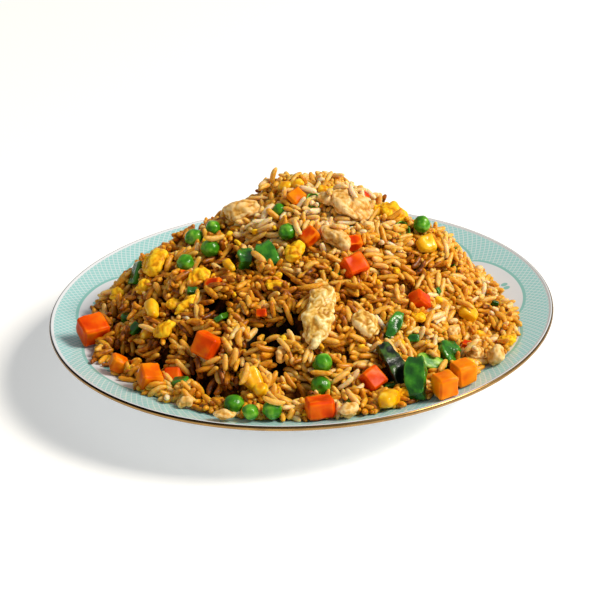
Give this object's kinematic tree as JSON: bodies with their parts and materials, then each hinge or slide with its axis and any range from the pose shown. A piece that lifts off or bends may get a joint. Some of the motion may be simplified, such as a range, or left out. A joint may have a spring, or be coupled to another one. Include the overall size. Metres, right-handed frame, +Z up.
{
  "type": "plate of egg fried rice",
  "caption": "Round patterned porcelain plate with a gilded edge, heaped with egg fried rice, peas, carrot dice, sweetcorn, chicken and green pepper.",
  "frame": {"origin": "centre of the plate's foot ring, on the table", "axes": "+Z up, -Y the front of the plate, +X its right-hand side seen from the front"},
  "size_m": [0.205, 0.205, 0.0752],
  "materials": {
    "porcelain": "gloss",
    "rice": "satin",
    "carrot": "satin",
    "pea": "gloss",
    "corn": "gloss",
    "egg": "satin",
    "chicken": "satin",
    "pepper": "gloss"
  },
  "bodies": {
    "root": {"plate": "porcelain", "rice_heap": "rice", "carrot_01": "carrot", "carrot_02": "carrot", "carrot_03": "carrot", "carrot_04": "carrot", "carrot_05": "carrot", "carrot_06": "carrot", "carrot_07": "carrot", "carrot_08": "carrot", "carrot_09": "carrot", "carrot_10": "carrot", "carrot_11": "carrot", "carrot_12": "carrot", "pea_01": "pea", "pea_02": "pea", "pea_03": "pea", "pea_04": "pea", "pea_05": "pea", "pea_06": "pea", "pea_07": "pea", "pea_08": "pea", "pea_09": "pea", "pea_10": "pea", "pea_11": "pea", "pea_12": "pea", "corn_01": "corn", "corn_02": "corn", "corn_03": "corn", "corn_04": "corn", "corn_05": "corn", "corn_06": "corn", "egg_01": "egg", "egg_02": "egg", "egg_03": "egg", "egg_04": "egg", "egg_05": "egg", "egg_06": "egg", "egg_07": "egg", "chicken_01": "chicken", "chicken_02": "chicken", "chicken_03": "chicken", "chicken_04": "chicken", "chicken_05": "chicken", "chicken_06": "chicken", "chicken_07": "chicken", "chicken_08": "chicken", "pepper_01": "pepper", "pepper_02": "pepper", "pepper_03": "pepper", "pepper_04": "pepper", "pepper_05": "pepper", "pepper_06": "pepper", "pepper_07": "pepper"}
  },
  "joints": []
}
